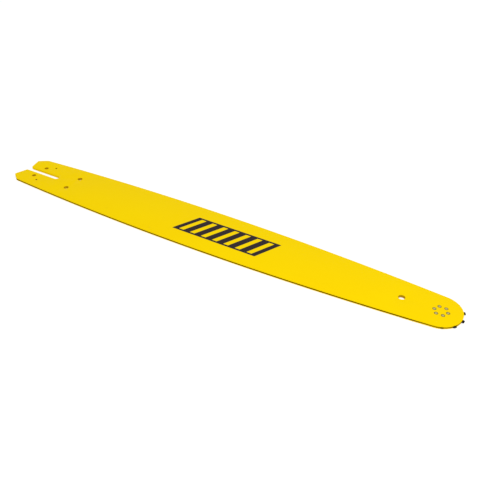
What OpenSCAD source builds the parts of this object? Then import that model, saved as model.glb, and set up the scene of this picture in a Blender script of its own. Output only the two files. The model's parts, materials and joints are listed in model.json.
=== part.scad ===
// Solid harvester guide bar with a sprocket nose.
// The bar lies flat: X runs from the tail to the nose, Y across it and Z through its thickness.
// The origin is on the lower face, midway between the two large locating holes of the tail.

/* [Bar plate] */
// From the locating holes forward to the axis of the nose sprocket
nose_reach = 700; // [500:10:1000]
// From the locating holes back to the rear corners of the tail
tail_reach = 121; // [114:0.5:140]
// Width of the plate where it is widest
belly_w = 111.2; // [96:0.2:125]
// From the locating holes forward to the widest place
belly_reach = 257; // [180:1:330]
// Thickness of the plate
bar_t = 4.8; // [4.2:0.1:6.4]
// Chamfer along the outer edges of the rails
rail_chamfer = 0.3; // [0.1:0.05:0.5]

/* [Chain groove] */
// Width of the groove, the gauge of the chain
groove_w = 1.6; // [1.3:0.1:2]
// Depth of the groove below the rails
groove_d = 9; // [6:0.5:12]

/* [Tail] */
// Width across the two rear corners
tail_end_w = 61; // [50:1:72]
// Length along the bar of the slanted corners where the groove runs out
corner_l = 16; // [10:0.5:22]
// Rounding of the rear corners
corner_r = 3.5; // [1:0.5:6]
// Rounding where the slanted corners meet the long sides
shoulder_r = 10; // [4:1:14]
// Depth of the shallow V between the rear corners
mouth_depth = 7.5; // [4:0.5:14]
// Rounding where the V meets the stud slot
mouth_r = 4; // [1:0.5:6]
// Width of the stud slot
slot_w = 11.2; // [8:0.1:14]
// From the locating holes back to the inner end of the slot
slot_setback = 37; // [28:1:60]
// Diameter of the locating holes
locating_d = 9; // [6:0.1:11]
// Distance between the two locating holes
locating_spacing = 37.4; // [30:0.2:46]
// Diameter of the tensioner holes
tensioner_d = 7.8; // [5:0.1:9]
// Distance between the two tensioner holes
tensioner_spacing = 32.8; // [28:0.2:42]
// From the locating holes back to the tensioner holes
tensioner_setback = 84.5; // [70:0.5:95]
// Diameter of the oil holes
oil_d = 3.6; // [2:0.1:5]
// Distance between the two oil holes
oil_spacing = 52.8; // [46:0.2:58]
// From the locating holes back to the oil holes
oil_setback = 68.5; // [62:0.5:90]

/* [Hanging hole] */
// Diameter of the hanging hole
hang_d = 10.5; // [6:0.5:14]
// From the sprocket's axis back to the hanging hole
hang_setback = 58.5; // [48:0.5:90]

/* [Nose sprocket] */
// Number of teeth on the star
teeth = 11; // [10:1:12]
// Pitch of the saw chain
chain_pitch = 10.26; // [9.525, 10.26, 11]
// How far the tooth tips lie inside the chain's pitch circle
tip_drop = 1.4; // [1:0.05:3]
// Radius of the round gullets that take the chain's tangs
gullet_r = 7.8; // [7.5:0.1:8.9]
// How far the nose rails lie inside the chain's pitch circle
rail_drop = 0.55; // [0.3:0.05:2]
// How far the centre of the nose rails lies behind the sprocket's axis
nose_setback = 4; // [2:0.5:6]
// Angle of the first tooth in the rest position, in degrees
tooth_phase = 26; // [0:1:32]
// Gap between the tooth tips and the floor of the pocket
pocket_clearance = 0.6; // [0.4:0.1:1.5]
// Gap between each face of the star and the nose wall
side_clearance = 0.08; // [0.05:0.01:0.12]

/* [Nose bearing] */
// Radius of the fixed inner race
race_r = 14.5; // [14:0.1:16]
// Diameter of a roller
roller_d = 3; // [2.5:0.1:4]
// Smallest gap between neighbouring rollers
roller_gap = 0.04; // [0.02:0.01:0.1]
// Radial running clearance on each side of a roller
run_clearance = 0.05; // [0.03:0.01:0.08]

/* [Rivets] */
// Number of rivets
rivet_count = 6; // [4:1:8]
// Radius of the ring of rivets
rivet_ring_r = 9.9; // [9:0.1:10.4]
// Diameter of a rivet's shank
rivet_d = 4; // [3:0.1:4.4]
// Diameter of a rivet's countersunk head
rivet_head_d = 5.8; // [5:0.1:6.4]
// Depth of a rivet's countersunk head
rivet_head_depth = 0.8; // [0.5:0.05:1.1]
// Bevel round the face of a rivet's head
rivet_bevel = 0.25; // [0.1:0.05:0.4]
// Gap between a rivet and its hole
rivet_clearance = 0.03; // [0.01:0.01:0.05]

/* [Hidden] */
// How far a cut runs past the face that it opens through
overrun = 1;
// Bore of an oil channel, as a share of the groove's width
oil_channel_share = 0.9;
// Facets of a full circle on small parts, and on the two long side arcs
small_facets = 96;
side_facets = 720;
// Straight runs in a rounded corner of the tail
corner_steps = 8;
// Angle at which a rounded shoulder crosses the line of the long side, in degrees
shoulder_splay = 1.5;
// How far the nose's arc stands over the run of the sides, so that the arcs cross where they meet
nose_crown = 0.03;

// The long sides are two equal arcs that run all but tangent into the nose's arc
belly_half = belly_w / 2;
pitch_r = chain_pitch / (2 * sin(90 / teeth));
nose_r = pitch_r - rail_drop;
nose_x = nose_reach - nose_setback;
seat_r = nose_r - nose_crown;
arc_run = nose_x - belly_reach;
side_r = round((arc_run ^ 2 + belly_half ^ 2 - seat_r ^ 2) / (2 * (belly_half - seat_r)));
side_drop = side_r - belly_half;
function side_y(x) = sqrt(side_r ^ 2 - (x - belly_reach) ^ 2) - side_drop;

// The star, its bearing and their pocket lie in the middle of the plate's thickness
tip_r = pitch_r - tip_drop;
star_t = groove_w - 2 * side_clearance;
star_z = (bar_t - star_t) / 2;
groove_z = (bar_t - groove_w) / 2;
orbit_r = race_r + run_clearance + roller_d / 2;
star_bore_r = race_r + roller_d + 2 * run_clearance;
roller_count = floor(180 / asin((roller_d + roller_gap) / 2 / orbit_r));

function two_digits(i) = i < 10 ? str("0", i) : str(i);
function roller_name(i) = str("bearing_roller_", two_digits(i));

// Unit vector from point p to point q
function towards(p, q) = (q - p) / norm(q - p);

// Points of a round corner of radius r at b, between the straight edges from a and to c
function round_corner(a, b, c, r) =
    let (
        u = towards(b, a),
        v = towards(b, c),
        half = acos(u * v) / 2,
        centre = b + (u + v) / norm(u + v) * r / sin(half),
        from = b + u * r / tan(half) - centre,
        to = b + v * r / tan(half) - centre,
        start = atan2(from.y, from.x),
        turn = (atan2(to.y, to.x) - start + 540) % 360 - 180
    )
    [for (k = [0:corner_steps])
        centre + r * [cos(start + turn * k / corner_steps), sin(start + turn * k / corner_steps)]];

function mirrored(points) = [for (k = [len(points) - 1:-1:0]) [points[k].x, -points[k].y]];

// Disc with a chamfer on both rims, standing on Z = 0
module chamfered_disc(r, facets) {
    rotate_extrude($fn = facets)
        polygon([
            [0, 0],
            [r - rail_chamfer, 0],
            [r, rail_chamfer],
            [r, bar_t - rail_chamfer],
            [r - rail_chamfer, bar_t],
            [0, bar_t]
        ]);
}

// Outline of the tail with its slanted corners, its V and the stud slot, up to the nose's centre
module tail_outline() {
    side = [corner_l - tail_reach, side_y(corner_l - tail_reach)];
    corner = [-tail_reach, tail_end_w / 2];
    mouth = [mouth_depth - tail_reach, slot_w / 2];
    slot_end = [-slot_setback - slot_w / 2, slot_w / 2];
    splay = asin((belly_reach - side.x) / side_r) + shoulder_splay;
    outer = [nose_x, side.y + (nose_x - side.x) * tan(splay)];
    half = concat(
        [outer],
        round_corner(outer, side, corner, shoulder_r),
        round_corner(side, corner, mouth, corner_r),
        round_corner(corner, mouth, slot_end, mouth_r),
        [slot_end]
    );
    difference() {
        polygon(concat(half, mirrored(half)));
        translate([slot_end.x, 0])
            circle(d = slot_w, $fn = small_facets);
    }
}

// Solid plate: the two side arcs cut by the tail's outline, and the round nose that they run into
module plate() {
    intersection() {
        intersection_for (side = [-1, 1])
            translate([belly_reach, side * side_drop, 0])
                chamfered_disc(side_r, side_facets);
        linear_extrude(bar_t)
            tail_outline();
    }
    translate([nose_x, 0, 0])
        chamfered_disc(nose_r, small_facets);
}

// What is left of the plate at mid thickness, inside the groove's floor and behind the nose pocket
module groove_core() {
    difference() {
        intersection() {
            intersection_for (side = [-1, 1])
                translate([belly_reach, side * side_drop])
                    circle(r = side_r - groove_d, $fn = side_facets);
            translate([-tail_reach - overrun, -belly_half])
                square([nose_x + tail_reach + overrun, belly_w]);
        }
        translate([nose_reach, 0])
            circle(r = tip_r + pocket_clearance, $fn = small_facets);
    }
}

// Chain groove all round the edge, which opens into the sprocket's pocket at the nose
module groove() {
    translate([0, 0, groove_z])
        linear_extrude(groove_w)
            difference() {
                translate([-tail_reach - overrun, -belly_half - overrun])
                    square([tail_reach + nose_reach + nose_r + 2 * overrun, belly_w + 2 * overrun]);
                groove_core();
            }
}

// Round hole through the plate
module hole(x, y, d) {
    translate([x, y, -overrun])
        cylinder(d = d, h = bar_t + 2 * overrun, $fn = small_facets);
}

// Two like holes, one on each side of the centre line
module hole_pair(setback, spacing, d) {
    for (side = [-1, 1])
        hole(-setback, side * spacing / 2, d);
}

// Channels that lead the oil from the two oil holes out to the floor of the groove
module oil_channels() {
    for (side = [-1, 1])
        translate([-oil_setback, side * oil_spacing / 2, bar_t / 2])
            rotate([-90 * side, 0, 0])
                cylinder(d = groove_w * oil_channel_share, h = belly_half - oil_spacing / 2, $fn = small_facets);
}

// Ring of rivet shapes grown by gap, which serves for the rivets and, with no bevel, for their holes
module rivet_ring(gap, bevel) {
    shank_r = rivet_d / 2 + gap;
    head_r = rivet_head_d / 2 + gap;
    for (k = [0:rivet_count - 1])
        translate([nose_reach, 0, 0])
            rotate([0, 0, 360 / rivet_count * k])
                translate([rivet_ring_r, 0, 0])
                    rotate_extrude($fn = small_facets)
                        polygon([
                            [0, 0],
                            [head_r - bevel, 0],
                            [head_r, rivet_bevel],
                            [shank_r, rivet_head_depth],
                            [shank_r, bar_t - rivet_head_depth],
                            [head_r, bar_t - rivet_bevel],
                            [head_r - bevel, bar_t],
                            [0, bar_t]
                        ]);
}

module bar_body() {
    color("gold")
        difference() {
            plate();
            groove();
            hole_pair(0, locating_spacing, locating_d);
            hole_pair(tensioner_setback, tensioner_spacing, tensioner_d);
            hole_pair(oil_setback, oil_spacing, oil_d);
            oil_channels();
            hole(nose_reach - hang_setback, 0, hang_d);
            rivet_ring(rivet_clearance, 0);
        }
}

module nose_sprocket() {
    color("dimgray")
        translate([nose_reach, 0, star_z])
            rotate([0, 0, tooth_phase])
                linear_extrude(star_t)
                    difference() {
                        circle(r = tip_r, $fn = small_facets);
                        circle(r = star_bore_r, $fn = small_facets);
                        for (k = [0:teeth - 1])
                            rotate(360 / teeth * (k + 1 / 2))
                                translate([pitch_r, 0])
                                    circle(r = gullet_r, $fn = small_facets);
                    }
}

module bearing_race() {
    color("silver")
        difference() {
            translate([nose_reach, 0, groove_z])
                cylinder(r = race_r, h = groove_w, $fn = small_facets);
            rivet_ring(rivet_clearance, 0);
        }
}

module nose_rivets() {
    color("lightgray")
        rivet_ring(0, rivet_bevel);
}

module bearing_roller(i) {
    color("lightsteelblue")
        translate([nose_reach, 0, star_z])
            rotate([0, 0, 360 / roller_count * i])
                translate([orbit_r, 0, 0])
                    cylinder(d = roller_d, h = star_t, $fn = small_facets);
}

bar_body();
nose_sprocket();
bearing_race();
nose_rivets();
for (i = [1:roller_count])
    bearing_roller(i);
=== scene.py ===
import json
import math
import bmesh
import bpy
import numpy as np
from mathutils import Matrix, Vector, geometry


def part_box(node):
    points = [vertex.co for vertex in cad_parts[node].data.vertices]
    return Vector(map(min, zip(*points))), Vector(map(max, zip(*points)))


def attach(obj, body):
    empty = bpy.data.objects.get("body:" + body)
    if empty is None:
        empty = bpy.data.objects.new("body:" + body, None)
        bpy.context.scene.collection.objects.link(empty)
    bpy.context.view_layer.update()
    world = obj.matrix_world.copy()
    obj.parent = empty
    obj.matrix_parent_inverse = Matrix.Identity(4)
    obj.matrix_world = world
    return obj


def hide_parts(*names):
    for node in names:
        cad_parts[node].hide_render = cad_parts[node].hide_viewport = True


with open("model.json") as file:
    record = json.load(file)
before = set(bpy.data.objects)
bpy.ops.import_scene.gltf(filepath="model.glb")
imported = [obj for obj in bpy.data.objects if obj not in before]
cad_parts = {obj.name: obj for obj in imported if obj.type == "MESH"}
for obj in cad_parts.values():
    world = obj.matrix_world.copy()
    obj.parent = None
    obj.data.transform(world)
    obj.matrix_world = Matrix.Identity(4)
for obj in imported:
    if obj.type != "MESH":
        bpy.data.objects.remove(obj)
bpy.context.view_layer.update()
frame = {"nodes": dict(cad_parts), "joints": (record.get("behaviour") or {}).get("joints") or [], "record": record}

scene = bpy.context.scene
scene.view_settings.view_transform = "Standard"

# The camera stands beside the nose and looks back across the bar towards the tail, from about 35 degrees
# above the paper. The lens is a standard one, and the camera leans by about a degree.
CAMERA_SPOT = Vector((0.796889, -0.736095, 0.591197))
CAMERA_AIM = Vector((0.374752, 0.000527, 0.0))
CAMERA_LEAN = math.radians(1.098)
CAMERA_LENS_MM = 46.25
CAMERA_SENSOR_MM = 36.0
CAMERA_NEAR = 0.01

camera_data = bpy.data.cameras.new("camera")
camera_data.lens = CAMERA_LENS_MM
camera_data.sensor_width = CAMERA_SENSOR_MM
camera_data.clip_start = CAMERA_NEAR
camera = bpy.data.objects.new("camera", camera_data)
facing = (CAMERA_AIM - CAMERA_SPOT).to_track_quat("-Z", "Y").to_matrix().to_4x4()
camera.matrix_world = Matrix.Translation(CAMERA_SPOT) @ facing @ Matrix.Rotation(CAMERA_LEAN, 4, "Z")
scene.collection.objects.link(camera)
scene.camera = camera


# The bar lies on a sheet of white paper in a light tent. The camera, gloss and glass see both as plain
# white, but the paper keeps the bar's soft shadow.
PAPER_HALF_WIDTH = 6.0
PAPER_BOUNCE = (0.8, 0.8, 0.8, 1.0)
PAPER_SEEN = (0.4, 0.4, 0.4, 1.0)
PAPER_LIFT = 0.69
TENT_WHITE = (1.0, 1.0, 1.0, 1.0)
TENT_LIGHT = 0.835


def feed(node, sockets):
    """Links wires to the node's sockets, and sets plain values on them."""
    for name, value in sockets.items():
        if isinstance(value, Wire):
            value.tree.links.new(value.socket, node.inputs[name])
        else:
            node.inputs[name].default_value = value


class Wire:
    """An output of a node. Arithmetic on wires adds Math nodes, and node() adds any other node."""

    def __init__(self, tree, socket=None):
        self.tree = tree
        self.socket = socket

    def node(self, kind, settings=(), sockets=(), out=0):
        """Adds a node, sets its settings and then its sockets, and returns one of its outputs."""
        new = self.tree.nodes.new(kind)
        for name, value in dict(settings).items():
            setattr(new, name, value)
        feed(new, dict(sockets))
        return Wire(self.tree, new.outputs[out] if len(new.outputs) else None)

    def maths(self, operation, *values):
        return self.node("ShaderNodeMath", {"operation": operation}, dict(enumerate(values)))

    def __add__(self, other):
        return self.maths("ADD", self, other)

    def __sub__(self, other):
        return self.maths("SUBTRACT", self, other)

    def __rsub__(self, other):
        return self.maths("SUBTRACT", other, self)

    def __mul__(self, other):
        return self.maths("MULTIPLY", self, other)

    def __truediv__(self, other):
        return self.maths("DIVIDE", self, other)

    def __abs__(self):
        return self.maths("ABSOLUTE", self)

    __radd__ = __add__
    __rmul__ = __mul__

    def fract(self):
        return self.maths("FRACT", self)

    def edge(self, low, high):
        """Rises smoothly from 0 where the value is low to 1 where it is high, or falls if low > high."""
        sockets = {"Value": self, "From Min": low, "From Max": high}
        return self.node("ShaderNodeMapRange", {"interpolation_type": "SMOOTHSTEP"}, sockets)

    def blend(self, first, second):
        """Colour that goes from first to second as the value goes from 0 to 1."""
        sockets = {"Factor": self, "A": first, "B": second}
        return self.node("ShaderNodeMix", {"data_type": "RGBA"}, sockets, out=2)


def empty_tree(owner):
    """A wire on the node tree of a material or a world, with the tree's nodes cleared away."""
    owner.use_nodes = True
    owner.node_tree.nodes.clear()
    return Wire(owner.node_tree)


def seen_plainly(wire):
    """1 for rays of the camera, of gloss and of glass, and 0 for the light that the bar takes in."""
    rays = (f"Is {ray} Ray" for ray in ("Camera", "Glossy", "Transmission"))
    by_camera, in_gloss, through_glass = (wire.node("ShaderNodeLightPath", out=ray) for ray in rays)
    return by_camera + in_gloss + through_glass


paper_mesh = bpy.data.meshes.new("paper")
corners = [(x * PAPER_HALF_WIDTH, y * PAPER_HALF_WIDTH, 0) for x, y in ((-1, -1), (1, -1), (1, 1), (-1, 1))]
paper_mesh.from_pydata(corners, [], [(0, 1, 2, 3)])
paper = bpy.data.objects.new("paper", paper_mesh)
scene.collection.objects.link(paper)
paper_finish = bpy.data.materials.new("paper")
wire = empty_tree(paper_finish)
bounce = wire.node("ShaderNodeBsdfDiffuse", sockets={"Color": PAPER_BOUNCE})
shown = wire.node("ShaderNodeBsdfDiffuse", sockets={"Color": PAPER_SEEN})
lift = wire.node("ShaderNodeEmission", sockets={"Color": TENT_WHITE, "Strength": PAPER_LIFT})
shown = wire.node("ShaderNodeAddShader", sockets={0: shown, 1: lift})
surface = wire.node("ShaderNodeMixShader", sockets={0: seen_plainly(wire), 1: bounce, 2: shown})
wire.node("ShaderNodeOutputMaterial", sockets={"Surface": surface})
paper_mesh.materials.append(paper_finish)

tent = bpy.data.worlds.new("tent")
wire = empty_tree(tent)
strength = TENT_LIGHT + seen_plainly(wire) * (1 - TENT_LIGHT)
surface = wire.node("ShaderNodeBackground", sockets={"Color": TENT_WHITE, "Strength": strength})
wire.node("ShaderNodeOutputWorld", sockets={"Surface": surface})
scene.world = tent


# One long softbox stands beside the nose, on the camera's side, and looks down at the bar. The tent gives
# most of the light, so the painted edges are almost as bright as the upper face, and only the holes and the
# groove are dark.
SOFTBOX_SPOT = Vector((0.9, -0.5, 0.9))
SOFTBOX_AIM = Vector((0.55, 0.0, 0.0))
SOFTBOX_SIZE = (1.2, 0.7)
SOFTBOX_WATTS = 3.9

lamp_data = bpy.data.lights.new("softbox", "AREA")
lamp_data.shape = "RECTANGLE"
lamp_data.size, lamp_data.size_y = SOFTBOX_SIZE
lamp_data.energy = SOFTBOX_WATTS
lamp = bpy.data.objects.new("softbox", lamp_data)
facing = (SOFTBOX_AIM - SOFTBOX_SPOT).to_track_quat("-Z", "Y").to_matrix().to_4x4()
lamp.matrix_world = Matrix.Translation(SOFTBOX_SPOT) @ facing
scene.collection.objects.link(lamp)


# The plate is one piece of alloy steel, cut out, drilled and ground flat, with two wide arcs that run into
# the round nose. The chain's groove is milled into its edge, and a thin pocket for the sprocket into the
# nose. It is worked out as the half above mid thickness, and the lower half is that one turned over.
plate_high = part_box("bar_body")[1]
joint = next(j for j in frame["joints"] if j["name"] == "sprocket_spin")
mounts = {m["name"]: m for m in frame["record"]["mounts"]}
MM = 0.001
THICKNESS = plate_high.z
MIDDLE = THICKNESS / 2
AXLE_X = joint["pos_m"][0]
BELLY_HALF = plate_high.y
BELLY_X = 257 * MM
NOSE_R = 35.5 * MM
NOSE_X = plate_high.x - NOSE_R
GROOVE_HALF = 0.8 * MM
GROOVE_DEEP = 9 * MM
POCKET_R = 35.25 * MM
TAIL_X = -121 * MM
TAIL_HALF = 30.5 * MM
TAIL_ROUND = 3.5 * MM
SHOULDER_RUN = 16 * MM
SHOULDER_ROUND = 10 * MM
MOUTH_DEEP = 7.5 * MM
MOUTH_ROUND = 4 * MM
SLOT_HALF = 5.6 * MM
SLOT_END_X = -37 * MM
OIL_X = -68.5 * MM
OIL_Y = 26.4 * MM
OIL_R = 1.8 * MM
RAIL_EDGE = 0.3 * MM
HOLE_EDGE = 0.15 * MM
# Painted shade: the walls of the bolt holes and the hanging hole are darkened part way to bare steel, for the
# shade deep in them.
HOLE_BARE_AND_SHADE = 0.52
OIL_HOLE_BARE = 1.0
LIP_EDGE = 0.1 * MM
EDGE_STEPS = 3
SIDE_POINTS = 220
NOSE_POINTS = 60
ROUND_POINTS = 10
HOLE_POINTS = 72
RIVET_COUNT = 6
RIVET_RING_R = 9.9 * MM
RIVET_HEAD_R = 2.9 * MM
RIVET_HEAD_DEEP = 0.8 * MM
RIVET_SHANK_R = 2 * MM
RIVET_FIT = 0.03 * MM
RIVET_BEVEL = 0.25 * MM
WELD = 0.001 * MM
FILL_SLACK_MM = 1e-6
FILL_ALL = 0
SHARP = math.radians(35)
LEVEL = 0.999

# A side is the arc that peaks at the widest place and runs smoothly into the circle of the nose.
side_run = NOSE_X - BELLY_X
SIDE_R = (side_run**2 + BELLY_HALF**2 - NOSE_R**2) / 2 / (BELLY_HALF - NOSE_R)
side_centre = np.array([BELLY_X, BELLY_HALF - SIDE_R])


def arc(centre, radius, start, stop, points):
    """Points of a circle about centre, from the angle start to the angle stop, both included."""
    angle = np.linspace(start, stop, points)
    return np.array(centre) + radius * np.stack([np.cos(angle), np.sin(angle)], 1)


def fillet(before, corner, after, radius):
    """Arc of this radius that touches the lines from corner to before and to after."""
    to_before, to_after = ((p - corner) / np.linalg.norm(p - corner) for p in (before, after))
    half = math.acos(to_before @ to_after) / 2
    centre = corner + (to_before + to_after) / (2 * math.cos(half)) * radius / math.sin(half)
    first, last = (corner + u * radius / math.tan(half) - centre for u in (to_before, to_after))
    start = math.atan2(first[1], first[0])
    turn = (math.atan2(last[1], last[0]) - start + 3 * math.pi) % (2 * math.pi) - math.pi
    return arc(centre, radius, start, start + turn, ROUND_POINTS)


def outward(path):
    """Unit vectors out of the metal, which lies on the path's right: the path's direction turned left."""
    along = np.roll(path, -1, 0) - np.roll(path, 1, 0)
    return np.stack([-along[:, 1], along[:, 0]], 1) / np.linalg.norm(along, axis=1, keepdims=True)


def plate_outline():
    """The closed outline, from the slot's inner end round the tail and along one side to the nose, and back.

    It is a chain of arcs and fillets, and the way back is the way out mirrored about the centre line.
    """
    shoulder_x = TAIL_X + SHOULDER_RUN
    shoulder = np.array([shoulder_x, side_centre[1] + math.sqrt(SIDE_R**2 - (shoulder_x - BELLY_X) ** 2)])
    corner = np.array([TAIL_X, TAIL_HALF])
    mouth = np.array([TAIL_X + MOUTH_DEEP, SLOT_HALF])
    slot_turn = np.array([SLOT_END_X - SLOT_HALF, SLOT_HALF])
    radial = shoulder - side_centre
    ahead = shoulder + np.array([radial[1], -radial[0]])
    round_shoulder = fillet(corner, shoulder, ahead, SHOULDER_ROUND)
    last = round_shoulder[-1] - side_centre
    start = math.atan2(last[1], last[0])
    tangent = np.array([NOSE_X, 0]) - side_centre
    stop = math.atan2(tangent[1], tangent[0])
    half = np.concatenate([
        arc((SLOT_END_X - SLOT_HALF, 0), SLOT_HALF, 0, math.pi / 2, ROUND_POINTS),
        fillet(slot_turn, mouth, corner, MOUTH_ROUND),
        fillet(mouth, corner, shoulder, TAIL_ROUND),
        round_shoulder,
        arc(side_centre, SIDE_R, start, stop, SIDE_POINTS)[1:],
        arc((NOSE_X, 0), NOSE_R, stop, 0, NOSE_POINTS)[1:],
    ])
    return np.concatenate([half, half[-2:0:-1] * [1, -1]])


def groove_floor(outline):
    """For each point of the outline, the point of the groove's floor or the pocket's wall that it faces.

    Along a side that is the point's projection towards the side's centre, a groove's depth within the side.
    In the nose the points share out the pocket's rear wall. At the tail the outline lies inside the floor,
    so the point is its own floor.
    """
    fold = np.where(outline[:, 1:] < 0, [1, -1], [1, 1])
    spoke = outline * fold - side_centre
    reach = np.linalg.norm(spoke, axis=1, keepdims=True)
    floor = side_centre + spoke * np.minimum(1, (SIDE_R - GROOVE_DEEP) / reach)
    towards = side_centre - [AXLE_X, 0]
    gap = np.linalg.norm(towards)
    along = (gap**2 + POCKET_R**2 - (SIDE_R - GROOVE_DEEP) ** 2) / (2 * gap)
    rise = math.sqrt(POCKET_R**2 - along**2)
    meet = np.array([along * towards[0] + rise * towards[1], along * towards[1] - rise * towards[0]]) / gap
    in_nose = floor[:, 0] > AXLE_X + meet[0]
    stretch = np.linalg.norm(np.diff(outline, axis=0, append=outline[:1]), axis=1)
    travelled = np.cumsum(np.where(in_nose, stretch, 0))
    share = travelled / travelled[-1]
    start = math.atan2(meet[1], meet[0])
    angle = start + (2 * math.pi - 2 * start) * share
    wall = np.array([AXLE_X, 0]) + POCKET_R * np.stack([np.cos(angle), np.sin(angle)], 1)
    return np.where(in_nose[:, None], wall, floor * fold)


def rows(paths, heights):
    """A grid of points: row j is the j-th path at the j-th height."""
    return [np.column_stack([path, np.full(len(path), height)]) for path, height in zip(paths, heights)]


def strips(grid, closed=True):
    """Quads between the neighbouring rows of a grid, as an array of four corners each."""
    top, low = np.stack(grid[:-1]), np.stack(grid[1:])
    ahead_top, ahead_low = np.roll(top, -1, 1), np.roll(low, -1, 1)
    quads = np.stack([top, ahead_top, ahead_low, low], 2)
    return (quads if closed else quads[:, :-1]).reshape(-1, 4, 3)


def inside(points, loops):
    """Whether each point lies within the loops by the even-odd rule, so a loop within a loop is a hole."""
    start = np.concatenate(loops)
    stop = np.concatenate([np.roll(loop, -1, 0) for loop in loops])
    x, y = points[:, :1], points[:, 1:]
    spans = (start[:, 1] > y) != (stop[:, 1] > y)
    slope = (stop[:, 0] - start[:, 0]) / np.where(stop[:, 1] == start[:, 1], 1, stop[:, 1] - start[:, 1])
    return (spans & (x < start[:, 0] + slope * (y - start[:, 1]))).sum(1) % 2 == 1


def flat(loops, height, up=True):
    """Triangles that fill the loops at this height, facing up or down, without those that lie in a hole."""
    sizes = np.array([len(loop) for loop in loops])
    ends = np.cumsum(sizes)
    ahead = np.arange(1, ends[-1] + 1)
    ahead[ends - 1] = ends - sizes
    edges = np.column_stack([np.arange(ends[-1]), ahead]).tolist()
    points = (np.concatenate(loops) / MM).tolist()
    corners, _, faces, *_ = geometry.delaunay_2d_cdt(points, edges, [], FILL_ALL, FILL_SLACK_MM)
    corners = np.array(corners) * MM
    triangles = corners[np.array(faces)]
    triangles = triangles[inside(triangles.mean(1), loops)]
    first, second = triangles[:, 1] - triangles[:, 0], triangles[:, 2] - triangles[:, 0]
    left = first[:, 0] * second[:, 1] - first[:, 1] * second[:, 0] > 0
    triangles = np.where((left == up)[:, None, None], triangles, triangles[:, ::-1])
    return np.concatenate([triangles, np.full(triangles.shape[:2] + (1,), height)], 2)


def edge_rows(path, edge, top):
    """Rows that round the upper edge of a wall: quarter-circle steps from the face down to the wall."""
    turn = np.linspace(0, math.pi / 2, EDGE_STEPS + 1)
    inset = edge * (1 - np.sin(turn))
    return rows(path - outward(path) * inset[:, None, None], top - edge * (1 - np.cos(turn)))


def two_sided_mesh(name, mark, groups):
    """A closed mesh of an upper half and of that half turned over about mid thickness.

    Each group is an array of faces with one number, or one for each face, which the mesh keeps as the
    attribute that mark names. Corners that fall together are welded, and level faces are shaded flat.
    """
    halves = groups + [(faces[:, ::-1] * [1, 1, -1] + [0, 0, THICKNESS], value) for faces, value in groups]
    points = np.concatenate([faces.reshape(-1, 3) for faces, _ in halves])
    sides = np.concatenate([np.full(len(faces), faces.shape[1]) for faces, _ in halves])
    values = np.concatenate([np.broadcast_to(value, len(faces)) for faces, value in halves])
    mesh = bpy.data.meshes.new(name)
    mesh.vertices.add(len(points))
    mesh.vertices.foreach_set("co", points.ravel().astype(np.float32))
    mesh.loops.add(len(points))
    mesh.loops.foreach_set("vertex_index", np.arange(len(points), dtype=np.int32))
    mesh.polygons.add(len(sides))
    mesh.polygons.foreach_set("loop_start", (np.cumsum(sides) - sides).astype(np.int32))
    mesh.update(calc_edges=True)
    mesh.attributes.new(mark, "FLOAT", "FACE").data.foreach_set("value", values.astype(np.float32))
    mesh.shade_smooth()
    mesh.polygons.foreach_set("use_smooth", np.abs(normals_z(mesh)) < LEVEL)
    welded = bmesh.new()
    welded.from_mesh(mesh)
    bmesh.ops.remove_doubles(welded, verts=welded.verts, dist=WELD)
    welded.to_mesh(mesh)
    welded.free()
    mesh.set_sharp_from_angle(angle=SHARP)
    return mesh


def normals_z(mesh):
    """The upward part of each face's normal."""
    normals = np.empty(3 * len(mesh.polygons), np.float32)
    mesh.polygon_normals.foreach_get("vector", normals)
    return normals[2::3]


def circle(x, y, radius):
    """A closed circle with the metal outside it."""
    return arc((x, y), radius, 0, 2 * math.pi, HOLE_POINTS + 1)[:-1]


# From the face down, the rows round the rail's edge, run down the wall and over the groove's lip, and then
# follow the groove's floor to mid thickness.
outline = plate_outline()
floor = groove_floor(outline)
depth = np.linalg.norm(outline - floor, axis=1)
groove_top = MIDDLE + GROOVE_HALF
wall_foot = np.column_stack([outline, groove_top + np.minimum(depth, LIP_EDGE)])
inwards = (floor - outline) * (LIP_EDGE / np.maximum(depth, LIP_EDGE))[:, None]
lip_ring = np.column_stack([outline + inwards, np.full(len(outline), groove_top)])
outer_rows = edge_rows(outline, RAIL_EDGE, THICKNESS) + [wall_foot, lip_ring]
floor_rows = rows([floor, floor], [groove_top, MIDDLE])
grooved = np.flatnonzero(depth > WELD)
grooved = np.arange(grooved[0] - 1, grooved[-1] + 2)

# A hole is its place, its radius and how bare its wall is. For the bolt holes and the hanging hole that share is
# partly painted shade.
bolt_mounts = [mounts["locating_holes"], mounts["tensioner_holes"]]
holes = [
    (m["pos_m"][0], side * m["dims"]["spacing_y_mm"] * MM / 2, m["dims"]["hole_r_mm"] * MM, HOLE_BARE_AND_SHADE)
    for m in bolt_mounts
    for side in (-1, 1)
]
holes += [(OIL_X, side * OIL_Y, OIL_R, OIL_HOLE_BARE) for side in (-1, 1)]
holes += [(mounts["hanging_hole"]["pos_m"][0], 0, mounts["hanging_hole"]["dims"]["r_mm"] * MM, HOLE_BARE_AND_SHADE)]
rivet_angles = np.arange(RIVET_COUNT) * 2 * math.pi / RIVET_COUNT
rivet_spots = [(AXLE_X + RIVET_RING_R * math.cos(a), RIVET_RING_R * math.sin(a)) for a in rivet_angles]

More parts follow.
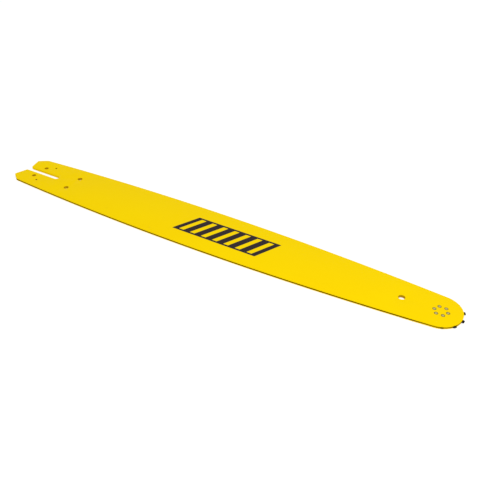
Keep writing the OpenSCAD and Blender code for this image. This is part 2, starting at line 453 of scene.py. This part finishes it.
in_groove = np.isin(np.arange(len(outline)), grooved[:-1])
groups = [(strips(outer_rows[:-1]), 0), (strips(outer_rows[-2:]), 1), (strips(floor_rows), in_groove)]
top_loops = [outer_rows[0][:, :2]]
for x, y, radius, wall_bare_and_shade in holes:
    bore = circle(x, y, radius)
    hole_rows = edge_rows(bore, HOLE_EDGE, THICKNESS) + rows([bore], [MIDDLE])
    groups += [(strips(hole_rows[:-1]), 0), (strips(hole_rows[-2:]), wall_bare_and_shade)]
    top_loops.append(hole_rows[0][:, :2])
rivet_feet = []
for x, y in rivet_spots:
    head = circle(x, y, RIVET_HEAD_R + RIVET_FIT)
    shank = circle(x, y, RIVET_SHANK_R + RIVET_FIT)
    levels = [THICKNESS, THICKNESS - RIVET_BEVEL, THICKNESS - RIVET_HEAD_DEEP, groove_top]
    groups.append((strips(rows([head, head, shank, shank], levels)), 1))
    top_loops.append(head)
    rivet_feet.append(shank)
groups.append((flat(top_loops, THICKNESS), 0))
groove_loop = np.concatenate([lip_ring[grooved, :2], floor[grooved][::-1][1:-1]])
groups.append((flat([groove_loop] + rivet_feet, groove_top, up=False), 1))

# The plate is sprayed yellow. Some of the spray gets into the nose, and none into the groove, whose walls
# are oily brown steel. The walls of the holes lie part way between paint and bare steel, partly as painted
# shade deep in the holes. A panel of hazard stripes is printed on the upper face in charcoal ink.
PAINT_YELLOW = (248, 215, 2)
PAINT_WARM = (247, 209, 2)
PAINT_ROUGH = 0.4
PAINT_ROUGH_SPREAD = 0.08
PAINT_GLOSS = 0.008
BARE_STEEL = (140, 74, 20)
OVERSPRAY = 0.45
BARE_METAL = 0.7
BARE_ROUGH = 0.5
INK = (54, 47, 48)
INK_ROUGH = 0.55
CLOUDS_PER_METRE = 9.0
CLOUDS_DETAIL = 3.0
PEEL_PER_METRE = 900.0
PEEL_DEPTH = 0.012 * MM
GRAIN_DETAIL = 1.0
PANEL_X = 338 * MM
PANEL_HALF_LENGTH = 80 * MM
PANEL_HALF_WIDTH = 25 * MM
PANEL_LEAN = 0.45
PANEL_RIM = 4 * MM
PRINT_EDGE = 0.15 * MM
STRIPE_STEP = 22 * MM
STRIPE_SHARE = 0.42


def linear(*srgb):
    """The linear colour, with alpha, of an 8-bit sRGB colour, by the formula of the sRGB standard."""
    return tuple(((v / 255 + 0.055) / 1.055) ** 2.4 if v > 10 else v / 255 / 12.92 for v in srgb) + (1.0,)


def finish(name):
    """A new material of this name, with a wire on its tree and its shader node."""
    material = bpy.data.materials.new(name)
    material.use_nodes = True
    return material, Wire(material.node_tree), material.node_tree.nodes["Principled BSDF"]


def speckle(place, per_metre, detail):
    """Soft noise between 0 and 1, with about this many spots to the metre."""
    return place.node("ShaderNodeTexNoise", (), {"Vector": place, "Scale": per_metre, "Detail": detail})


paint, wire, shader = finish("bar_paint")
place = wire.node("ShaderNodeTexCoord", out="Object")
x, y, z = (wire.node("ShaderNodeSeparateXYZ", sockets={"Vector": place}, out=axis) for axis in "XYZ")
# Where the walls of the holes take a share of bare steel, that share is partly painted shade.
bare = wire.node("ShaderNodeAttribute", {"attribute_name": "bare"}, out="Fac")
bare = bare * (1 - OVERSPRAY * x.edge(NOSE_X - NOSE_R, NOSE_X))
clouds = speckle(place, CLOUDS_PER_METRE, CLOUDS_DETAIL)
peel = speckle(place, PEEL_PER_METRE, GRAIN_DETAIL)
slanted = x - PANEL_X - y * PANEL_LEAN


def panel(half_length, half_width):
    """1 within the slanted panel of this size, and 0 outside it."""
    ends = abs(slanted).edge(half_length + PRINT_EDGE, half_length - PRINT_EDGE)
    return ends * abs(y).edge(half_width + PRINT_EDGE, half_width - PRINT_EDGE)


from_middle = abs((slanted / STRIPE_STEP + 0.5).fract() - 0.5) * STRIPE_STEP
stripe_half = STRIPE_STEP * STRIPE_SHARE / 2
stripes = from_middle.edge(stripe_half + PRINT_EDGE, stripe_half - PRINT_EDGE)
stripes = stripes * panel(PANEL_HALF_LENGTH - PANEL_RIM, PANEL_HALF_WIDTH - PANEL_RIM)
ink = panel(PANEL_HALF_LENGTH, PANEL_HALF_WIDTH) * (1 - stripes) * z.edge(MIDDLE, THICKNESS)
colour = ink.blend(clouds.blend(linear(*PAINT_WARM), linear(*PAINT_YELLOW)), linear(*INK))
rough = PAINT_ROUGH + clouds * PAINT_ROUGH_SPREAD + ink * (INK_ROUGH - PAINT_ROUGH)
feed(shader, {
    "Base Color": bare.blend(colour, linear(*BARE_STEEL)),
    "Roughness": rough + bare * (BARE_ROUGH - PAINT_ROUGH),
    "Metallic": bare * BARE_METAL,
    "Specular IOR Level": PAINT_GLOSS,
    "Normal": wire.node("ShaderNodeBump", sockets={"Height": peel, "Distance": PEEL_DEPTH}),
})

plate_mesh = two_sided_mesh("plate", "bare", groups)
plate_mesh.materials.append(paint)
plate = bpy.data.objects.new("plate", plate_mesh)
scene.collection.objects.link(plate)
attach(plate, "bar")
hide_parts("bar_body")


# The star is stamped from sheet steel, hardened and blackened, and runs in oil. Round gullets between its
# eleven teeth take the tangs of the chain. It turns in the nose on rollers, and its tips stand out there.
TEETH = 11
STAR_TURN = math.radians(26)
STAR_TIP_R = 34.65 * MM
STAR_BORE_R = 17.6 * MM
PITCH_R = 36.05 * MM
GULLET_R = 7.8 * MM
GULLET_POINTS = 25
TIP_POINTS = 5
STAR_EDGE = 0.1 * MM
STAR_BLACK = (12, 8, 6)
STAR_BROWN = (24, 16, 10)
STAR_METAL = 0.1
STAR_GLOSS = 0.1
STAR_ROUGH = 0.6
STAR_ROUGH_SPREAD = 0.12
STAR_CLOUDS_PER_METRE = 130.0
STAR_GRAIN_PER_METRE = 1500.0
STAR_GRAIN_DEPTH = 0.01 * MM

# A gullet is an arc about a point of the pitch circle, so its reach from the axle along a spoke is that
# point's projection on the spoke, less half of the chord. Between two gullets it is the radius of the tips.
star_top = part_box("nose_sprocket")[1].z
tooth_step = 2 * math.pi / TEETH
gullet_side = math.acos((STAR_TIP_R**2 + PITCH_R**2 - GULLET_R**2) / (2 * STAR_TIP_R * PITCH_R))
gullet = np.linspace(-gullet_side, gullet_side, GULLET_POINTS)
gullet_reach = PITCH_R * np.cos(gullet) - np.sqrt(GULLET_R**2 - (PITCH_R * np.sin(gullet)) ** 2)
tip = np.linspace(gullet_side, tooth_step - gullet_side, TIP_POINTS)[1:-1]
gullet_turns = STAR_TURN + (np.arange(TEETH)[:, None] + 0.5) * tooth_step
angle = (gullet_turns + np.concatenate([gullet, tip])).ravel()[:, None]
reach = np.tile(np.concatenate([gullet_reach, np.full(len(tip), STAR_TIP_R)]), TEETH)[:, None]
spokes = np.concatenate([np.cos(angle), np.sin(angle)], 1)
rim = (np.array([AXLE_X, 0]) + reach * spokes)[::-1]
bore = np.array([AXLE_X, 0]) + STAR_BORE_R * spokes
rim_rows = edge_rows(rim, STAR_EDGE, star_top) + rows([rim], [MIDDLE])
bore_rows = edge_rows(bore, STAR_EDGE, star_top) + rows([bore], [MIDDLE])
face = strips([bore_rows[0][::-1], rim_rows[0]])
star_mesh = two_sided_mesh("star", "bare", [(strips(rim_rows), 0), (strips(bore_rows), 1), (face, 0)])

star_steel, wire, shader = finish("star_steel")
place = wire.node("ShaderNodeTexCoord", out="Object")
clouds = speckle(place, STAR_CLOUDS_PER_METRE, CLOUDS_DETAIL)
grain = speckle(place, STAR_GRAIN_PER_METRE, GRAIN_DETAIL)
feed(shader, {
    "Base Color": clouds.blend(linear(*STAR_BLACK), linear(*STAR_BROWN)),
    "Roughness": STAR_ROUGH + clouds * STAR_ROUGH_SPREAD,
    "Metallic": STAR_METAL,
    "Specular IOR Level": STAR_GLOSS,
    "Normal": wire.node("ShaderNodeBump", sockets={"Height": grain, "Distance": STAR_GRAIN_DEPTH}),
})
star_mesh.materials.append(star_steel)
star = bpy.data.objects.new("star", star_mesh)
scene.collection.objects.link(star)
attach(star, "sprocket")
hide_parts("nose_sprocket")


# Six steel rivets run through the nose and the race. Their ends are set into countersunk holes and ground
# flush with the paint. The riveting tool leaves a shallow dimple in each end. A dark ring round each end is
# oil in the joint, and also painted shade of the joint.
RIVET_DIMPLE_R = 1.1 * MM
RIVET_DIMPLE_DEEP = 0.12 * MM
RIVET_FACE_R = 2.1 * MM
RIVET_STEPS = 5
RIVET_BRIGHT = (206, 193, 128)
# The ring round each rivet end is dark with oil, and darker still as painted shade of the joint.
RIVET_DARK = (92, 78, 34)
RIVET_SMEAR = 0.4
RIVET_METAL = 1.0
RIVET_ROUGH = 0.36
RIVET_ROUGH_SPREAD = 0.14
RIVET_GRAIN_PER_METRE = 1800.0
RIVET_GRAIN_DEPTH = 0.01 * MM
SMEAR_DETAIL = 2.0

# A rivet's profile turns about its axis: a parabola for the dimple, the flat, the bevel, head and shank.
dimple = np.linspace(0, 1, RIVET_STEPS)
outer_reach = [RIVET_FACE_R, RIVET_HEAD_R - RIVET_BEVEL, RIVET_HEAD_R, RIVET_SHANK_R, RIVET_SHANK_R]
rivet_reach = [*(RIVET_DIMPLE_R * dimple), *outer_reach]
drop = [*(RIVET_DIMPLE_DEEP * (1 - dimple**2)), 0, 0, RIVET_BEVEL, RIVET_HEAD_DEEP, MIDDLE]
groups = []
for x, y in rivet_spots:
    profile = rows([circle(x, y, r)[::-1] for r in rivet_reach], THICKNESS - np.array(drop))
    groups += [(strips(profile[:RIVET_STEPS + 1]), 0), (strips(profile[RIVET_STEPS:]), 1)]
rivets_mesh = two_sided_mesh("rivets", "oil_and_shade", groups)

rivet_steel, wire, shader = finish("rivet_steel")
place = wire.node("ShaderNodeTexCoord", out="Object")
# Painted shade: the outer ring of each end, over the flat's rim and the bevel, is darkened for the joint's shade
# as well as its oil.
oil_and_shade = wire.node("ShaderNodeAttribute", {"attribute_name": "oil_and_shade"}, out="Fac")
grain = speckle(place, RIVET_GRAIN_PER_METRE, SMEAR_DETAIL)
ground = (1 - oil_and_shade) * (1 - grain * RIVET_SMEAR)
feed(shader, {
    "Base Color": ground.blend(linear(*RIVET_DARK), linear(*RIVET_BRIGHT)),
    "Roughness": RIVET_ROUGH + grain * RIVET_ROUGH_SPREAD,
    "Metallic": RIVET_METAL,
    "Normal": wire.node("ShaderNodeBump", sockets={"Height": grain, "Distance": RIVET_GRAIN_DEPTH}),
})
rivets_mesh.materials.append(rivet_steel)
rivets = bpy.data.objects.new("rivets", rivets_mesh)
scene.collection.objects.link(rivets)
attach(rivets, "bar")
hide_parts("nose_rivets")


# The race is a hardened and ground steel disc that the rivets hold in the middle of the nose. Its grinding
# marks run round the axle, and a film of grease lies on it.
RACE_GREY = (150, 148, 142)
RACE_DULL = (118, 114, 106)
RACE_METAL = 1.0
RACE_ROUGH = 0.28
RACE_ROUGH_SPREAD = 0.2
RACE_RINGS_PER_METRE = 2500.0

race_steel, wire, shader = finish("race_steel")
place = wire.node("ShaderNodeTexCoord", out="Object")
across, aside = (wire.node("ShaderNodeSeparateXYZ", sockets={"Vector": place}, out=axis) for axis in "XY")
from_axle = ((across - AXLE_X) * (across - AXLE_X) + aside * aside).maths("SQRT")
marks = {"W": from_axle, "Scale": RACE_RINGS_PER_METRE}
rings = wire.node("ShaderNodeTexNoise", {"noise_dimensions": "1D"}, marks)
feed(shader, {
    "Base Color": rings.blend(linear(*RACE_DULL), linear(*RACE_GREY)),
    "Roughness": RACE_ROUGH + rings * RACE_ROUGH_SPREAD,
    "Metallic": RACE_METAL,
})


# Thirty-three bearing rollers fill the ring between the race and the bore of the star. They are cut from
# polished wire, a little shorter than the gap between the nose walls, and are packed in grease.
ROLLER_GREY = (186, 186, 184)
ROLLER_GREASY = (150, 140, 118)
ROLLER_METAL = 1.0
ROLLER_ROUGH = 0.18
ROLLER_ROUGH_SPREAD = 0.2
GREASE_PER_METRE = 600.0

roller_steel, wire, shader = finish("roller_steel")
place = wire.node("ShaderNodeTexCoord", out="Object")
grease = speckle(place, GREASE_PER_METRE, SMEAR_DETAIL)
feed(shader, {
    "Base Color": grease.blend(linear(*ROLLER_GREY), linear(*ROLLER_GREASY)),
    "Roughness": ROLLER_ROUGH + grease * ROLLER_ROUGH_SPREAD,
    "Metallic": ROLLER_METAL,
})

# Every CAD node gets the finish of its piece, also where a finer mesh stands in for it.
finishes = {
    "bar_body": paint,
    "nose_sprocket": star_steel,
    "nose_rivets": rivet_steel,
    "bearing_race": race_steel,
}
for name, node in frame["nodes"].items():
    for slot in node.material_slots:
        slot.material = finishes.get(name, roller_steel)
